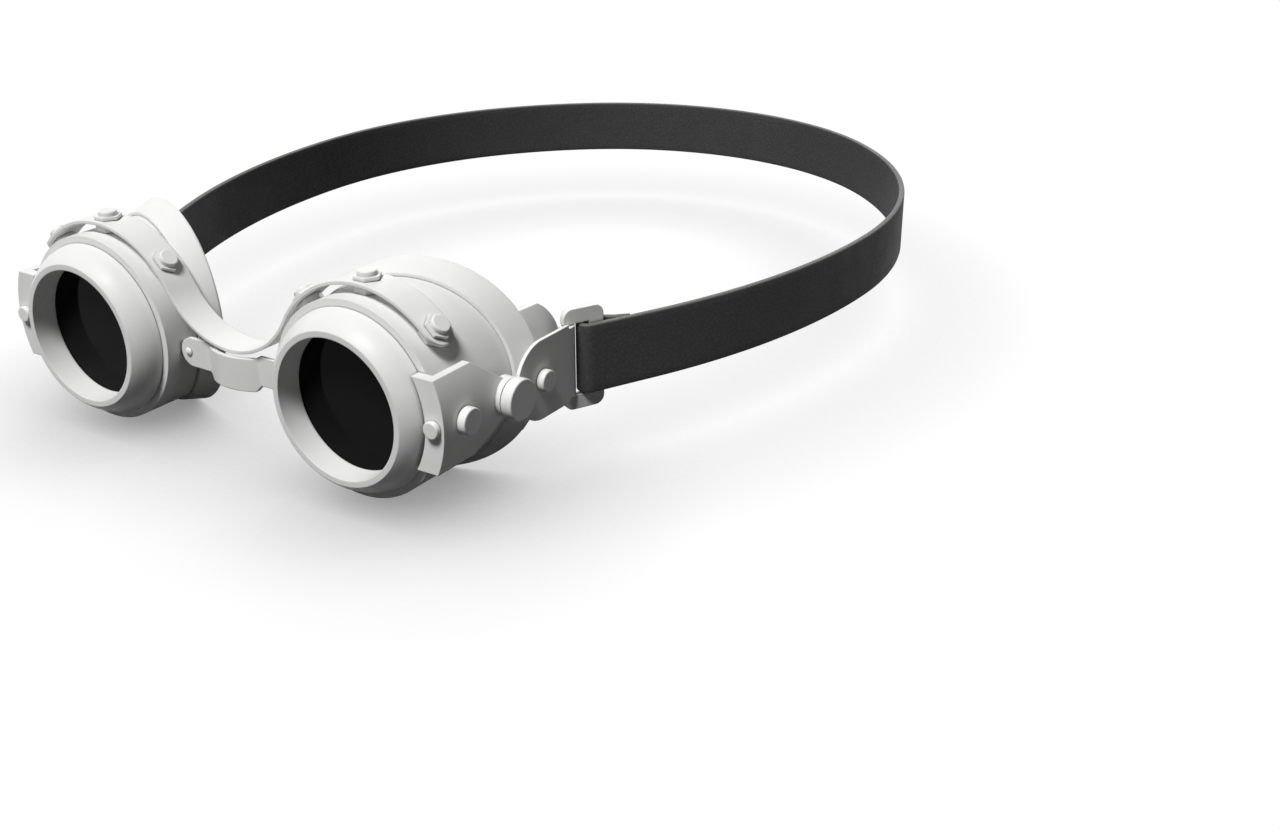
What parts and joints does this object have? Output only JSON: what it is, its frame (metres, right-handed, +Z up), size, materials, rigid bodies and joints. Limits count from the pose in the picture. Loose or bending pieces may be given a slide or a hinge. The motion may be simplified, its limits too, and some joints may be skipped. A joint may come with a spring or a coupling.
{
  "type": "goggles",
  "caption": "Steampunk goggles with skewed round metal eyecups, screwed lens bezels, a bolted brow strip, a nose bridge, side brackets with thumb screws and a leather head strap.",
  "frame": {"origin": "midway between the two eyecup axes, on the plane of the bezel front faces", "axes": "+X to the wearer's left, +Y from the front of the goggles towards the back of the head, +Z up"},
  "size_m": [0.172, 0.2278, 0.0478],
  "materials": {
    "white_metal": "satin",
    "bright_metal": "satin",
    "dark_lens": "polished",
    "frosted_pane": "frosted",
    "gasket_rubber": "matt",
    "strap_leather": "matt"
  },
  "bodies": {
    "front_frame": {"left_barrel": "white_metal", "left_rear_cup": "white_metal", "left_inner_pane": "frosted_pane", "left_hex_spacers": "bright_metal", "left_hex_bolts": "bright_metal", "left_bridge_rivet": "bright_metal", "left_side_bracket": "white_metal", "left_bracket_front_rivet": "bright_metal", "left_bracket_side_rivet": "bright_metal", "left_plate_pivot": "bright_metal", "right_barrel": "white_metal", "right_rear_cup": "white_metal", "right_inner_pane": "frosted_pane", "right_hex_spacers": "bright_metal", "right_hex_bolts": "bright_metal", "right_bridge_rivet": "bright_metal", "right_side_bracket": "white_metal", "right_bracket_front_rivet": "bright_metal", "right_bracket_side_rivet": "bright_metal", "right_plate_pivot": "bright_metal", "brow_strip": "white_metal", "nose_bridge": "white_metal"},
    "headband": {"left_strap_plate": "white_metal", "left_buckle_ring": "white_metal", "right_strap_plate": "white_metal", "right_buckle_ring": "white_metal", "strap": "strap_leather"},
    "left_lens_unit": {"left_lens": "dark_lens", "left_lens_gasket": "gasket_rubber"},
    "left_bezel_ring": {"left_bezel": "white_metal"},
    "left_thumb": {"left_thumb_screw": "bright_metal"},
    "right_lens_unit": {"right_lens": "dark_lens", "right_lens_gasket": "gasket_rubber"},
    "right_bezel_ring": {"right_bezel": "white_metal"},
    "right_thumb": {"right_thumb_screw": "bright_metal"}
  },
  "joints": [
    {"name": "strap_swing", "type": "hinge", "parent": "front_frame", "child": "headband", "pos_m": [0, 0.0332, 0], "axis": [1, 0, 0], "range_deg": [-70, 70]},
    {"name": "left_bezel_travel", "type": "slide", "parent": "front_frame", "child": "left_lens_unit", "axis": [0, -1, 0], "range_m": [0, 0.003]},
    {"name": "left_bezel_turn", "type": "hinge", "parent": "left_lens_unit", "child": "left_bezel_ring", "pos_m": [0.036, 0, 0], "axis": [0, -1, 0], "range_deg": [0, 720]},
    {"name": "left_thumb_turn", "type": "hinge", "parent": "front_frame", "child": "left_thumb", "pos_m": [0.0609, 0.023, 0], "axis": [1, 0, 0], "range_deg": [0, 270]},
    {"name": "right_bezel_travel", "type": "slide", "parent": "front_frame", "child": "right_lens_unit", "axis": [0, -1, 0], "range_m": [0, 0.003]},
    {"name": "right_bezel_turn", "type": "hinge", "parent": "right_lens_unit", "child": "right_bezel_ring", "pos_m": [-0.036, 0, 0], "axis": [0, -1, 0], "range_deg": [0, 720]},
    {"name": "right_thumb_turn", "type": "hinge", "parent": "front_frame", "child": "right_thumb", "pos_m": [-0.0609, 0.023, 0], "axis": [-1, 0, 0], "range_deg": [0, 270]}
  ],
  "couplings": [
    {"joint": "left_bezel_travel", "follows": "left_bezel_turn", "m_per_rad": 0.00023873},
    {"joint": "right_bezel_travel", "follows": "right_bezel_turn", "m_per_rad": 0.00023873}
  ]
}
